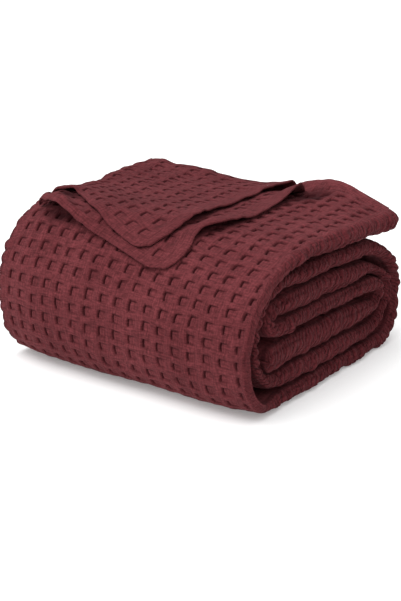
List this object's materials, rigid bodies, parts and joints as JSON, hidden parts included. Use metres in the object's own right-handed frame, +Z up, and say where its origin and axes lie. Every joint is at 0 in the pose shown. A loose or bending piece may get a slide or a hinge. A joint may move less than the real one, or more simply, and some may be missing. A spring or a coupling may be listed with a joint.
{
  "type": "rolled waffle weave cotton blanket",
  "caption": "Waffle weave cotton blanket, folded lengthwise into a thick strip and loosely rolled, with the loose end's corner turned back over the top.",
  "frame": {"origin": "on the surface the roll lies on, under the middle of its bounding box", "axes": "+X along the roll, towards the end that shows its spiral; +Z up; the closed long side faces -Y and the loose hemmed end lies at the top of the +Y side"},
  "size_m": [0.3856, 0.3786, 0.2196],
  "materials": {
    "waffle_cotton": "matte waffle weave cotton with plain woven hems, deep burgundy"
  },
  "bodies": {
    "root": {"blanket_roll": "waffle_cotton", "turned_corner_lower": "waffle_cotton", "turned_corner_upper": "waffle_cotton"}
  },
  "joints": []
}
